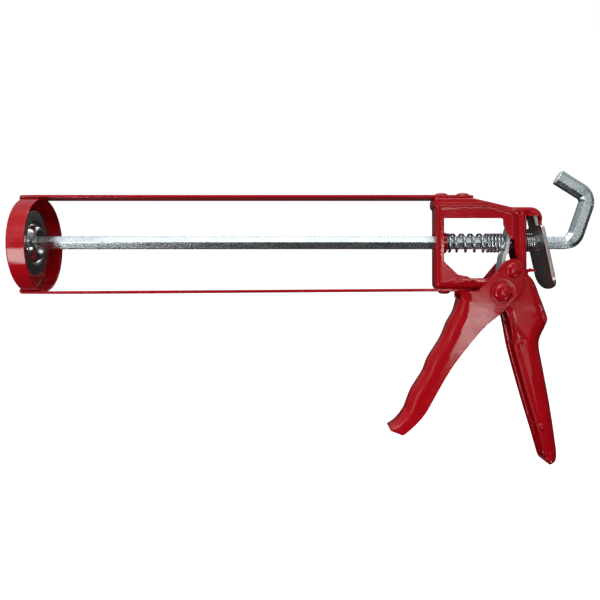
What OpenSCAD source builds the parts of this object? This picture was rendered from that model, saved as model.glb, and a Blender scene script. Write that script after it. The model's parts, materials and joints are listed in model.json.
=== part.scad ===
// Skeleton caulking gun with a hexagonal push rod, for 9 inch cartridges.
// +Z is up and +X runs from the nozzle end towards the hook of the rod.
// The origin is the centre of the nozzle hole, on the front face of the cap.

/* [Cradle] */
// Inside radius of the front cap, which takes a 50 mm cartridge
cap_bore_r = 25.2; // [24.8:0.1:26]
// Depth of the front cap along the gun
cap_depth = 10; // [9:0.5:13]
// Radius of the nozzle hole
nozzle_hole_r = 10; // [8:0.5:11]
// Sheet thickness of the cap
cap_t = 1.0; // [0.8:0.1:1.2]
// Width of the two cradle strips
strip_w = 13.4; // [11:0.2:13.4]
// Thickness of the two cradle strips
strip_t = 1.6; // [1.2:0.1:1.8]

/* [Frame] */
// Outside width of the folded frame
frame_w = 16; // [16:0.5:18]
// Sheet thickness of the frame and the trigger
sheet_t = 1.2; // [1:0.1:1.3]
// Where the frame's front wall stands along the gun
frame_x = 228.6; // [228.2:0.2:229]

/* [Push rod] */
// Height of the rod's axis above the cap's axis
rod_z = 1.4; // [1:0.1:1.8]
// Rod size across its flats
rod_af = 7; // [6.6:0.1:7.1]
// Where the bend of the hook begins
hook_x = 301; // [300:0.5:303]
// Radius of the plunger disc
plunger_r = 18.2; // [16:0.2:20]

/* [Trigger] */
// Free gap between the frame and each side of the trigger
trigger_gap = 0.3; // [0.25:0.05:0.5]
// Radius of the pivot rivet and the pusher pin
pin_r = 2.5; // [2:0.1:2.6]
// Radius of the roller that pushes the drive plate
roller_r = 4.2; // [3.8:0.1:4.2]

/* [Plates and springs] */
// Lean of the drive plate at rest, top to the rear
drive_lean = 8; // [6:0.5:8]
// Lean of the brake plate at rest, foot to the rear
brake_lean = 12.5; // [12:0.25:13]
// Thickness of both plates
plate_t = 2; // [1.8:0.1:2]
// Wire diameter of the drive spring
drive_wire = 1.4; // [1.2:0.1:1.4]
// Wire diameter of the brake spring
brake_wire = 0.9; // [0.7:0.1:1]

/* [Hidden] */
$fn = 64;

red = "#b01020";
zinc = "#b9c4c8";
steel = "#5f686c";

half_w = frame_w / 2;
inner_w = half_w - sheet_t;
trigger_in = half_w + trigger_gap;
trigger_out = trigger_in + sheet_t;

cap_r = cap_bore_r + cap_t;
// the cap is pressed flat where a strip lies on it
strip_seat = cap_r - 0.4;
tab_t = 1.4;
frame_top = strip_seat;
frame_floor = -24.3;
strip_end = 249.5;

rod_hole_r = 4.6;
fit = 0.05;
bush_r = 5.8;
bush_len = 235.2 - frame_x;

pivot = [264.4, -26.4];
pusher = [270.2, -14.3];
drive_face = 267.8;
brake_face = 285.7;

// strip rivets: shank radius, and head radius and height inside the frame, above and below
rivet_r = 1.6;
inner_head = [2.8, 1];
top_head = [4, 2];
bottom_head = [3.3, 1.4];
top_rivets = [232.5, 244.5];
bottom_rivets = [234.3, 244.9];
// x, z and head radius of the three rivets across the grip
grip_rivet_at = [[274.2, -54, 2], [288.1, -41.3, 1.6], [285.9, -100.1, 1.8]];
grip_shank_r = 1.4;
grip_head_h = 0.7;
pivot_head = [4.8, 2.1];
pusher_head = [4.3, 2];
spacer_r = 4;

// side view of the frame as x, z points, from the floor round the front to the roof
front_path = [
    [253, frame_floor], [frame_x, frame_floor], [frame_x, 20.2], [frame_x - 1.2, 21.6],
    [frame_x - 1.2, frame_top], [248.5, frame_top], [270, 20.7], [280.5, 20.7]
];
// the roof curls down at the rear into the lip that holds the brake plate
lip_r = 6.6;
lip_path = [for (a = [90 : -15 : 0]) [280.5 + lip_r * cos(a), 20.7 - lip_r + lip_r * sin(a)]];
lip_foot = [286.7, 10.8];
lip_in = [285.9, 10.8];
skirt_z = 15.7;
post_x = 278.8;
post_foot = -14.4;
// beads pressed along the top of a side wall: width, height and how deep they root in the wall
bead_w = 0.7;
bead_h = 0.35;
bead_root = 0.05;
bead_start = frame_x + 1.8;
// back of the grip, from the rear post down to the heel
back_pts = [
    [279.6, -16.4], [283.2, -20.5], [286.4, -27.9], [290.6, -38.2], [291.4, -41.6],
    [290.2, -45.2], [287.5, -51.2], [286.9, -56.5], [289.3, -69.6], [292.4, -86],
    [294.8, -101], [296.2, -113], [295.6, -119.4], [292, -122.1]
];
// front edge of the grip, from the heel up to the floor of the frame
front_pts = [[289.4, -120], [284.8, -104], [279.2, -85.5], [271.6, -58], [267.4, -38.2], [260.8, -33]];
ledge = [[post_x, -13.6], [283, -13.8], [283, -15], [279.8, -15.2]];
// window in each side wall: the foot is the same on both sides, the head is taller on the right
window_foot = [
    [272.2, 2.4], [272.4, -3], [273.8, -9], [273.8, -16], [267, -18.6], [246.9, -18.6],
    [246.2, -17.8], [240.3, -16.6], [232.8, -9.5]
];
left_window = concat([[232.8, 14.4], [265.3, 14.4], [265.5, 10.7], [268.9, 3.6]], window_foot);
right_window = concat([[232.8, 17], [270.2, 17], [270.5, 10.7], [271.4, 5]], window_foot);

// side view of the trigger
trigger_head = [
    [250.9, -25.6], [258.1, -18.6], [263.2, -12.5], [266, -9.5], [269, -8.3], [272, -8.3],
    [274.6, -9.8], [276.1, -13.1], [276.4, -19.7], [275.2, -24.4], [273.3, -28.4]
];
trigger_rear = [
    [268.8, -32.8], [264.3, -37.6], [257, -43.4], [252, -48.5], [243.1, -59.3], [235.9, -69.2],
    [228.5, -82], [222.5, -92.6], [216.8, -99.3], [211.8, -103.6], [209.8, -105]
];
trigger_front = [
    [202.8, -101.2], [207.2, -97.6], [211.2, -91.6], [213.6, -85.4],
    [216.2, -79.6], [222, -70.4], [225.2, -62.6], [232.1, -51.4], [235.8, -42.6], [239.4, -36.6],
    [241.6, -29.9]
];

// where the trigger's sides rise in front of the strip
trigger_nose = [242, -26.2];
// the closed foot of the trigger
trigger_tip = [
    [211.8, -103.6], [209.8, -105], [203.4, -102.7], [202.8, -101.2], [203.7, -100.4], [205, -101.7],
    [209.8, -103.4], [211, -102.7]
];

drive_w = 11;
drive_top = 10.2;
drive_foot = -19.6;
brake_w = 27;
brake_corner = 9;
brake_tongue_w = 12.6;
brake_tongue_top = 16;
brake_shoulder = 9;
brake_bottom = -26.4;

// springs: inside radii, and [turn, place along the gun] pairs for the wire's course
drive_coil_r = 4.2;
brake_coil_r = 4.25;
drive_turns = [[0, 236.2], [1, 237.6], [5, 257.4], [9.5, 266]];
brake_turns = [[0, 279.5], [1, 280.6], [4, 284.2]];
wire_sides = 6;
steps_per_turn = 16;

// turned front end of the rod
shoulder_x = 5.8;
spigot_r = 2.5;
head_x = 2.4;
peened_head = [4, 1.2];
washer_r = 5;
washer_t = 1;

// hook: bend radii, turns and straight lengths
hook_r1 = 7.8;
hook_r2 = 6.8;
hook_turn1 = 71;
hook_turn2 = 77;
hook_len1 = 16.5;
hook_len2 = 15.3;
bend_steps = 10;

// half of the bar's section as [towards the outside of the bend, sideways] shares of its size,
// as drawn with a corner to the side, and as the bending press leaves it with a flat there
blunt = 0.03;
drawn_half = [[blunt, 0.577 - 0.577 * blunt], [-blunt, 0.577 - 0.577 * blunt], [-0.5, 0.2885]];
drawn_top = [0.5, 0.2885];
pressed_half = [[0.25, 0.515], [-0.33, 0.515], [-0.59, 0.25]];
pressed_top = [0.59, 0.22];

function unit(v) = v / norm(v);
function left(v) = [-v[1], v[0]];
function miter(a, b, c, t) =
    let (n = left(unit(b - a)), m = unit(n + left(unit(c - b)))) b + m * t / (m * n);
function shifted(p, t) = [
    for (i = [0 : len(p) - 1])
        i == 0 ? p[0] + left(unit(p[1] - p[0])) * t
        : i == len(p) - 1 ? p[i] + left(unit(p[i] - p[i - 1])) * t
        : miter(p[i - 1], p[i], p[i + 1], t)
];
function reversed(p) = [for (i = [len(p) - 1 : -1 : 0]) p[i]];
// a band of even thickness, on the left of a path
function band(p, t) = concat(p, reversed(shifted(p, t)));
// a smooth curve through every point of a path
function curve_at(a, b, c, d, u) =
    b + u * (c - a) / 2 + u * u * (2 * a - 5 * b + 4 * c - d) / 2
    + u * u * u * (3 * b - a - 3 * c + d) / 2;
function smooth(p, steps) = let (n = len(p) - 1) concat([
    for (i = [0 : n - 1], s = [0 : steps - 1])
        curve_at(p[max(i - 1, 0)], p[i], p[i + 1], p[min(i + 2, n)], s / steps)
], [p[n]]);

back_path = smooth(back_pts, 3);
front_edge = smooth(front_pts, 3);
rear_path = smooth(trigger_rear, 3);
finger_path = smooth(trigger_front, 4);

// a side-view shape, as thick as t, whose low side is at y
module slab(y, t) translate([0, y + t, 0]) rotate([90, 0, 0]) linear_extrude(t) children();
module both_sides() {
    children();
    mirror([0, 1, 0]) children();
}
// a solid turned about the gun's length, at height z
module along_x(x, z) translate([x, 0, z]) rotate([0, 90, 0]) children();
// a cylinder across the gun
module across(p, r, w) translate([p[0], 0, p[1]]) rotate([90, 0, 0]) cylinder(r = r, h = w, center = true);
// a domed rivet head standing on the plane z = 0
module dome(r, h) {
    ball = (r * r + h * h) / (2 * h);
    intersection() {
        translate([0, 0, h - ball]) sphere(ball, $fn = 96);
        cylinder(r = r, h = h);
    }
}
// head is [radius, height]
module dome_across(p, y, head) translate([p[0], -y, p[1]]) rotate([90, 0, 0]) dome(head[0], head[1]);

// Front cap and strips

module front_cap() color(red) difference() {
    intersection() {
        along_x(0, 0) rotate_extrude($fn = 128) polygon(concat(
            [[nozzle_hole_r, 0]],
            [for (a = [-90 : 30 : 0]) [cap_r - 1 + cos(a), 1 + sin(a)]],
            [[cap_r, cap_depth], [cap_bore_r, cap_depth], [cap_bore_r, cap_t], [nozzle_hole_r, cap_t]]
        ));
        translate([-1, -cap_r - 1, -strip_seat]) cube([cap_depth + 2, 2 * cap_r + 2, 2 * strip_seat]);
    }
    along_x(-1, 0) cylinder(r = nozzle_hole_r, h = cap_t + 2);
}

// the folded tab at the front of a strip, and the strip's length; z grows away from the axis
module strip_shape(rear_z) polygon([
    [0, strip_seat - tab_t], [0, strip_seat], [12, strip_seat], [frame_x - 1.2, rear_z],
    [strip_end, rear_z], [strip_end, rear_z + strip_t], [frame_x - 1.2, rear_z + strip_t],
    [12, strip_seat + strip_t], [0.2, strip_seat + strip_t], [-1, strip_seat + strip_t - 0.5],
    [-tab_t, strip_seat + 0.3], [-tab_t, strip_seat - tab_t]
]);

module strip(rear_z, holes) difference() {
    slab(-strip_w / 2, strip_w) strip_shape(rear_z);
    for (x = holes) translate([x, 0, rear_z - 1]) cylinder(r = rivet_r, h = strip_t + 2);
}
module top_strip() color(red) strip(frame_top, top_rivets);
module bottom_strip() color(red) mirror([0, 0, 1]) strip(-frame_floor, bottom_rivets);

// a rivet through a strip and the frame's web, with its outer head up
module strip_rivet(head) {
    translate([0, 0, strip_t]) dome(head[0], head[1]);
    translate([0, 0, -sheet_t - 0.5]) cylinder(r = rivet_r, h = sheet_t + strip_t + 1);
    translate([0, 0, -sheet_t]) mirror([0, 0, 1]) dome(inner_head[0], inner_head[1]);
}
module top_strip_rivets() color(red)
    for (x = top_rivets) translate([x, 0, frame_top]) strip_rivet(top_head);
module bottom_strip_rivets() color(red)
    for (x = bottom_rivets) translate([x, 0, frame_floor]) mirror([0, 0, 1]) strip_rivet(bottom_head);

// Frame: two pressed halves that meet along the middle of the gun

module wall_outline() polygon(concat(
    front_path, lip_path, [lip_foot, lip_in, [lip_in[0], skirt_z], [post_x, skirt_z]],
    ledge, back_path, front_edge
));

module webs() {
    // front wall, roof and floor
    polygon(band(front_path, -sheet_t));
    // curled lip
    polygon(concat(
        lip_path, [lip_foot, lip_in], [[lip_in[0], 14.1]],
        [for (a = [0 : 15 : 90]) [280.5 + (lip_r - sheet_t) * cos(a), 20.7 - lip_r + (lip_r - sheet_t) * sin(a)]]
    ));
    // rear post with its ledge
    translate([post_x - sheet_t, post_foot]) square([sheet_t, 20 - post_foot]);
    polygon(concat(ledge, [[post_x - sheet_t, -15.2], [post_x - sheet_t, -13.6]]));
    // back of the grip
    polygon(band(concat([[279.4, post_foot]], back_path, [front_edge[0]]), -sheet_t));
}

// the two beads pressed along the top of a side wall
module beads() {
    polygon(band([[bead_start, 22], [258, 22], [272.5, 18.4]], bead_w));
    polygon(band([[bead_start, 20.6], [257.6, 20.6], [270, 17.4]], bead_w));
}

module frame_half(window) difference() {
    union() {
        slab(-half_w, sheet_t) difference() {
            wall_outline();
            polygon(window);
        }
        slab(-half_w, half_w) webs();
        slab(-half_w - bead_h, bead_h + bead_root) beads();
    }
    along_x(frame_x - 2, rod_z) cylinder(r = bush_r + fit, h = 5);
    along_x(post_x - 3, rod_z) cylinder(r = rod_hole_r, h = 5);
    across(pivot, pin_r + fit, frame_w + 1);
    for (g = grip_rivet_at) across(g, grip_shank_r, frame_w + 1);
    for (x = top_rivets) translate([x, 0, frame_top - 3]) cylinder(r = rivet_r, h = 4);
    for (x = bottom_rivets) translate([x, 0, frame_floor - 1]) cylinder(r = rivet_r, h = 4);
}
module frame_left() color(red) frame_half(left_window);
module frame_right() color(red) mirror([0, 1, 0]) frame_half(right_window);

module grip_rivets() color(red) for (g = grip_rivet_at) {
    across(g, grip_shank_r, frame_w + 0.4);
    both_sides() dome_across(g, half_w, [g[2], grip_head_h]);
}

// guide for the rod in the front wall
module rod_bush() color(red) along_x(frame_x, rod_z) difference() {
    cylinder(r = bush_r, h = bush_len);
    translate([0, 0, -1]) cylinder(r = rod_hole_r, h = bush_len + 2);
}

module pivot_rivet() color(red) {
    across(pivot, pin_r, 2 * trigger_out + 1);
    both_sides() dome_across(pivot, trigger_out + trigger_gap, pivot_head);
}
module pivot_spacer() color(steel) difference() {
    across(pivot, spacer_r, 2 * inner_w - 0.1);
    across(pivot, pin_r + fit, frame_w);
}

// Trigger: a channel that closes round the frame

module trigger_outline() polygon(concat(
    trigger_head, rear_path, [[203.4, -102.7]], finger_path, [trigger_nose]
));

module trigger() color(red) difference() {
    union() {
        both_sides() slab(-trigger_out, sheet_t) trigger_outline();
        slab(-trigger_out, 2 * trigger_out) {
            polygon(band(finger_path, -sheet_t));
            polygon(trigger_tip);
        }
    }
    across(pivot, pin_r + fit, 2 * trigger_out + 1);
    across(pusher, pin_r, 2 * trigger_out + 1);
}

module pusher_pin() color(red) {
    across(pusher, pin_r, 2 * trigger_out + 0.4);
    both_sides() dome_across(pusher, trigger_out, pusher_head);
}
module pusher_roller() color(steel) difference() {
    across(pusher, roller_r, 2 * inner_w - 1);
    across(pusher, pin_r + fit, frame_w);
}

// Plates. Each is drawn upright at the rod's height, then leaned about it.

// a hexagonal hole or bar along the gun, with a corner to each side
module hex_x(af, x, len) along_x(x, 0) rotate([0, 0, 30]) cylinder(d = af / cos(30), h = len, $fn = 6);

module front_view(x, t) translate([x, 0, 0]) rotate([90, 0, 90]) linear_extrude(t) children();

module drive_plate() color(zinc) translate([drive_face, 0, rod_z]) rotate([0, drive_lean, 0]) difference() {
    intersection() {
        slab(-drive_w / 2, drive_w) polygon([
            [0, drive_top], [0, -5], [-plate_t, -7.4], [-plate_t, drive_foot], [0, drive_foot],
            [0, -7.9], [plate_t, -5.5], [plate_t, drive_top]
        ]);
        front_view(-5, 10) union() {
            translate([0, drive_top - drive_w / 2]) circle(drive_w / 2);
            translate([-drive_w / 2, drive_foot]) square([drive_w, drive_top - drive_w / 2 - drive_foot]);
        }
    }
    hex_x(rod_af + 1, -5, 10);
}

module brake_plate() color(steel) translate([brake_face, 0, rod_z]) rotate([0, -brake_lean, 0]) difference() {
    intersection() {
        slab(-brake_w / 2, brake_w) polygon([
            [0, brake_tongue_top], [0, -20.6], [2.6, brake_bottom], [4.4, brake_bottom + 0.8],
            [plate_t, -20.2], [plate_t, brake_tongue_top]
        ]);
        front_view(-1, 8) union() {
            translate([-brake_tongue_w / 2, 0]) square([brake_tongue_w, brake_tongue_top]);
            translate([-brake_w / 2, brake_bottom + brake_corner])
                square([brake_w, brake_shoulder - brake_bottom - brake_corner]);
            translate([-brake_w / 2 + brake_corner, brake_bottom - 1]) square([brake_w - 2 * brake_corner, 12]);
            for (s = [-1, 1]) translate([s * (brake_w / 2 - brake_corner), brake_bottom + brake_corner])
                circle(brake_corner);
        }
    }
    hex_x(rod_af + 1.4, -1, 6);
}

// Springs: a wire wound round the gun's length
function coil_ring(n, x, r, w) = let (a = 360 * n, u = [0, cos(a), sin(a)]) [
    for (i = [0 : wire_sides - 1]) let (b = 360 * i / wire_sides)
        [x, 0, rod_z] + u * (r + w * cos(b)) + [w * sin(b), 0, 0]
];
module coil(turns, r, w) {
    last = turns[len(turns) - 1][0];
    rings = floor(last * steps_per_turn);
    points = [for (k = [0 : rings]) each coil_ring(k / steps_per_turn, lookup(k / steps_per_turn, turns), r, w)];
    sides = [
        for (k = [0 : rings - 1], i = [0 : wire_sides - 1])
            let (j = (i + 1) % wire_sides, a = k * wire_sides, b = a + wire_sides) [a + i, a + j, b + j, b + i]
    ];
    start = [for (i = [wire_sides - 1 : -1 : 0]) i];
    end = [for (i = [0 : wire_sides - 1]) rings * wire_sides + i];
    polyhedron(points = points, faces = concat(sides, [start, end]), convexity = 10);
}

module drive_spring() color(zinc) coil(drive_turns, drive_coil_r + drive_wire / 2, drive_wire / 2);
module brake_spring() color(zinc) coil(brake_turns, brake_coil_r + brake_wire / 2, brake_wire / 2);

// Rod, hook and plunger

// the bar's stations as x, height, heading and how far the press has flattened its sides
function heading(a) = [cos(a), sin(a)];
function outward(a) = [sin(a), -cos(a)];
bend1 = [hook_x, hook_r1];
bend1_end = bend1 + hook_r1 * outward(hook_turn1);
bend2 = bend1_end + hook_len1 * heading(hook_turn1) - hook_r2 * outward(hook_turn1);
hook_angle = hook_turn1 + hook_turn2;
hook_end = bend2 + hook_r2 * outward(hook_angle) + hook_len2 * heading(hook_angle);
function bend_stations(c, r, from, turn, pressing) = [
    for (i = [0 : bend_steps]) let (u = i / bend_steps, a = from + turn * u, p = c + r * outward(a))
        [p[0], p[1], a, pressing ? min(1, 1.6 * u) : 1]
];
bar_stations = concat(
    [[shoulder_x, 0, 0, 0]],
    bend_stations(bend1, hook_r1, 0, hook_turn1, true),
    bend_stations(bend2, hook_r2, hook_turn1, hook_turn2, false),
    [[hook_end[0], hook_end[1], hook_angle, 1]]
);
// the whole section from its half: [outwards, sideways] points
function whole(half, top) = concat(half, [for (p = reversed(half)) [p[0], -p[1]]], [[top[0], -top[1]], top]);
drawn = whole(drawn_half, drawn_top);
pressed = whole(pressed_half, pressed_top);
function bar_ring(s) = let (n = outward(s[2])) [
    for (p = rod_af * (drawn * (1 - s[3]) + pressed * s[3])) [s[0] + n[0] * p[0], p[1], s[1] + n[1] * p[0]]
];

module hex_bar() {
    n = len(drawn);
    last = len(bar_stations) - 1;
    sides = [
        for (k = [0 : last - 1], i = [0 : n - 1])
            let (j = (i + 1) % n, a = n * k, b = a + n) each [[a + i, b + j, a + j], [a + i, b + i, b + j]]
    ];
    polyhedron(
        points = [for (s = bar_stations) each bar_ring(s)],
        faces = concat(sides, [[for (i = [0 : n - 1]) i], [for (i = [n - 1 : -1 : 0]) n * last + i]]),
        convexity = 10
    );
}

module rod() color(zinc) {
    translate([0, 0, rod_z]) hex_bar();
    along_x(head_x + 0.6, rod_z) cylinder(r = spigot_r, h = shoulder_x - head_x);
    along_x(head_x + peened_head[1], rod_z) mirror([0, 0, 1]) dome(peened_head[0], peened_head[1]);
}

module plunger_disc() color(zinc) along_x(0, rod_z) rotate_extrude($fn = 96) polygon(band([
    [spigot_r, 4.6], [4.6, 4.6], [6.4, 6.6], [8.2, 6.6], [10, 3.4], [11.2, 3.4], [12.2, 4.2],
    [plunger_r, 4.2]
], 1.2));

module plunger_washer() color(zinc) along_x(head_x + peened_head[1], rod_z) difference() {
    cylinder(r = washer_r, h = washer_t);
    translate([0, 0, -1]) cylinder(r = spigot_r, h = washer_t + 2);
}

front_cap();
top_strip();
bottom_strip();
top_strip_rivets();
bottom_strip_rivets();
frame_left();
frame_right();
grip_rivets();
rod_bush();
pivot_rivet();
pivot_spacer();
trigger();
pusher_pin();
pusher_roller();
drive_plate();
drive_spring();
rod();
plunger_disc();
plunger_washer();
brake_plate();
brake_spring();
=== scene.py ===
"""Looks of a skeleton caulking gun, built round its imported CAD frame.

Lengths in this file are millimetres. +X runs from the nozzle end to the hook, +Z is up, and
the side that the camera sees faces -Y. Every piece stands for one CAD node and rides on its body.
"""
import json
import math

import bmesh
import bpy
import numpy as np
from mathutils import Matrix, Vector
from mathutils.geometry import delaunay_2d_cdt

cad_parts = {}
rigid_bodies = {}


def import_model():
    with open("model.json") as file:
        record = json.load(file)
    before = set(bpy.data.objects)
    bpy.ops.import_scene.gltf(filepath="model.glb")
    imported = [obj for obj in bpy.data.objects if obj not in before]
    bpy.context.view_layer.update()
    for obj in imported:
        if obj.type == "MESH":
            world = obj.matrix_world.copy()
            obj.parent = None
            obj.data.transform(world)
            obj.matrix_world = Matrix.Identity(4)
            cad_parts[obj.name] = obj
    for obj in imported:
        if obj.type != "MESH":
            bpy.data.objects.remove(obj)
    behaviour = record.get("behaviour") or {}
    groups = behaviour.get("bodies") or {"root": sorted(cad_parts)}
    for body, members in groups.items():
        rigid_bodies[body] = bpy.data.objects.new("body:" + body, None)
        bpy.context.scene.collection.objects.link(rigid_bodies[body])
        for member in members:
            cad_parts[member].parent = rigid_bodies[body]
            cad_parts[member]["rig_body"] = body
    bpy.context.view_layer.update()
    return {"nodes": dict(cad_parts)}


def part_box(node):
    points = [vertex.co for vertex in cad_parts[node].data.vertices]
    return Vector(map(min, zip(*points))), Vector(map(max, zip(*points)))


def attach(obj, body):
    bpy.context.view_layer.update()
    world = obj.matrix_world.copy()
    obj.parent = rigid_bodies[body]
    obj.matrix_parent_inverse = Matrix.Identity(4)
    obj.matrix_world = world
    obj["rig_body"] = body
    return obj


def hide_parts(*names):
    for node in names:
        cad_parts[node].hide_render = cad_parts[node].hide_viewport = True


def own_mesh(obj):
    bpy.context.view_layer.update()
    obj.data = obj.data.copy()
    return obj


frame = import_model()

MM = 0.001


def node_box(node):
    """Lowest and highest corners of a CAD node, in millimetres."""
    low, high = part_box(node)
    return np.array(low) / MM, np.array(high) / MM


# ---------------------------------------------------------------- driving dimensions

CAP_DEPTH, CAP_R, STRIP_SEAT = node_box("front_cap")[1]  # the strips lie on the cap's top and bottom
STRIP_T = 1.6
SHEET = 1.2  # thickness of the pressed sheet of the frame and the trigger
EDGE = 0.25  # softened edge of a cut sheet
ROD_Z = 1.4  # height of the rod's axis
ROD_AF = 7.0  # the rod across its flats
FRAME_X = 228.6  # front face of the frame
FRAME_HALF = 8.0
FRAME_TOP = STRIP_SEAT
FRAME_FLOOR = -24.3
POST_X = 278.8  # rear face of the frame's rear post
TRIGGER_HALF = node_box("trigger")[1][1]
PIVOT = np.array([264.4, -26.4])  # the trigger's pivot, as (x, z)
PUSHER = np.array([270.2, -14.3])  # the pin that carries the roller, as (x, z)


# ---------------------------------------------------------------- plane curves

SIDE_SHARE = 0.48  # the most of a side that the curve at one corner takes
LEAST_CURVE = 0.05  # a curve that reaches less than this from its corner is left out
STRAIGHT = 1.55  # half of a corner's angle in radians, past which the corner counts as straight
END_STOPS = (0.12, 0.35, 0.7, 1.15, 1.7, 2.4, 3.2)  # where a graded path has points near its ends
CLOSEST = 0.08  # the points of a spaced path are further apart than this
ROW_GAP = 0.87  # between the rows of a triangular grid, as a share of its pitch
SAME_POINT, NO_AREA = 1e-5, 1e-7


def directions(path):
    """The unit direction of a path at each of its points."""
    run = np.gradient(path, axis=0)
    return run / np.linalg.norm(run, axis=1)[:, None]


def rightward(path):
    """The unit direction to the right of a path at each of its points."""
    run = directions(path)
    return np.stack([run[:, 1], -run[:, 0]], axis=1)


def run_length(path):
    """How far along a path each of its points lies."""
    return np.concatenate([[0], np.cumsum(np.linalg.norm(np.diff(path, axis=0), axis=1))])


def closed(loop):
    """A loop with its first point repeated at its end."""
    return np.vstack([loop, loop[:1]])


def smooth(points, steps):
    """A smooth curve through every point of an open path."""
    p = np.array(points, float)
    n = len(p) - 1
    out = []
    for i in range(n):
        a, b, c, d = p[max(i - 1, 0)], p[i], p[i + 1], p[min(i + 2, n)]
        for u in np.arange(steps) / steps:
            out.append(b + u * (c - a) / 2 + u * u * (2 * a - 5 * b + 4 * c - d) / 2
                       + u ** 3 * (3 * b - a - 3 * c + d) / 2)
    return np.array(out + [p[n]])


def rounded(points, radii, steps=5):
    """An open path whose inner corners are rounded to about the given radii."""
    p = np.array(points, float)
    out = [p[0]]
    for i in range(1, len(p) - 1):
        before, after = p[i - 1] - p[i], p[i + 1] - p[i]
        la, lb = np.linalg.norm(before), np.linalg.norm(after)
        a, b = before / la, after / lb
        half = math.acos(float(np.clip(a @ b, -1, 1))) / 2
        reach = min(radii[i] / math.tan(half), la * SIDE_SHARE, lb * SIDE_SHARE) if radii[i] else 0
        if reach < LEAST_CURVE or half > STRAIGHT:
            out.append(p[i])
            continue
        start, end = p[i] + a * reach, p[i] + b * reach
        for t in np.linspace(0, 1, steps + 1):
            out.append((1 - t) ** 2 * start + 2 * t * (1 - t) * p[i] + t * t * end)
    return np.array(out + [p[-1]])


def spaced(points, step, graded=False):
    """A path with a point at least every step; graded puts more points near its two ends."""
    p = np.array(points, float)
    along = run_length(p)
    stops = []
    for a, b in zip(along[:-1], along[1:]):
        count = max(1, math.ceil((b - a) / step - 1e-6))
        stops += list(a + (b - a) * np.arange(count) / count)
    stops.append(along[-1])
    if graded:
        near = [d for d in END_STOPS if d < along[-1] / 2]
        stops += near + [along[-1] - d for d in near]
    stops = sorted(stops)
    kept = [stops[0]]
    for s in stops[1:]:
        if s - kept[-1] > CLOSEST:
            kept.append(s)
    kept[-1] = along[-1]
    kept = np.array(kept)
    return np.stack([np.interp(kept, along, p[:, k]) for k in (0, 1)], axis=1)


def nearest(points, path):
    """How far each point lies from a path, and how far along the path its nearest place is."""
    points, a, b = np.atleast_2d(points), path[:-1], path[1:]
    run = b - a
    square = np.maximum((run ** 2).sum(1), 1e-12)
    t = np.clip(((points[:, None] - a) * run).sum(2) / square, 0, 1)
    gap = np.linalg.norm(points[:, None] - (a + t[..., None] * run), axis=2)
    best = gap.argmin(1)
    rows = np.arange(len(points))
    length = np.sqrt(square)
    start = np.concatenate([[0], np.cumsum(length)])[best]
    return gap[rows, best], start + t[rows, best] * length[best]


def gap_to(points, paths):
    """How far each point lies from the nearest of several paths."""
    return np.min([nearest(points, np.array(path, float))[0] for path in paths], axis=0)


def inside(points, loops):
    """Which points lie inside the outline and outside its holes."""
    points = np.atleast_2d(points)
    crossings = np.zeros(len(points), int)
    for loop in loops:
        a, b = loop, np.roll(loop, -1, axis=0)
        x, y = points[:, :1], points[:, 1:]
        spans = (a[:, 1] > y) != (b[:, 1] > y)
        rise = np.where(b[:, 1] == a[:, 1], 1e-12, b[:, 1] - a[:, 1])
        crossings += (spans & (x < (b[:, 0] - a[:, 0]) * (y - a[:, 1]) / rise + a[:, 0])).sum(1)
    return crossings % 2 == 1


def grid(loops, pitch):
    """Points of a triangular grid over an outline's box."""
    low, high = loops[0].min(0), loops[0].max(0)
    rows = []
    for k, y in enumerate(np.arange(low[1], high[1], pitch * ROW_GAP)):
        x = np.arange(low[0] + (k % 2) * pitch / 2, high[0], pitch)
        rows.append(np.stack([x, np.full(len(x), y)], axis=1))
    return np.concatenate(rows)


def step_up(t):
    """0 below 0, 1 above 1, and a smooth rise between."""
    t = np.clip(t, 0, 1)
    return t * t * (3 - 2 * t)


def fill(loops, extra):
    """Counter-clockwise triangles that fill an outline and leave its holes open."""
    points, edges = [], []
    for loop in loops:
        first, n = len(points), len(loop)
        points += list(loop)
        edges += [(first + i, first + (i + 1) % n) for i in range(n)]
    points = np.array(points + list(extra))
    made = delaunay_2d_cdt([Vector(p) for p in points], edges, [], 0, SAME_POINT)
    verts = np.array([tuple(v) for v in made[0]])
    faces = np.array(made[2])
    centre = verts[faces].mean(axis=1)
    faces = faces[inside(centre, loops)]
    a, b, c = (verts[faces[:, k]] for k in range(3))
    turn = (b - a)[:, 0] * (c - a)[:, 1] - (b - a)[:, 1] * (c - a)[:, 0]
    real = np.abs(turn) > NO_AREA
    faces, turn = faces[real], turn[real]
    return verts, np.where((turn < 0)[:, None], faces[:, ::-1], faces)


# ---------------------------------------------------------------- pieces

WELD = 0.02  # corners nearer than this become one
SLIVER = 0.012  # edges of a sheet shorter than this are dissolved


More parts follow.
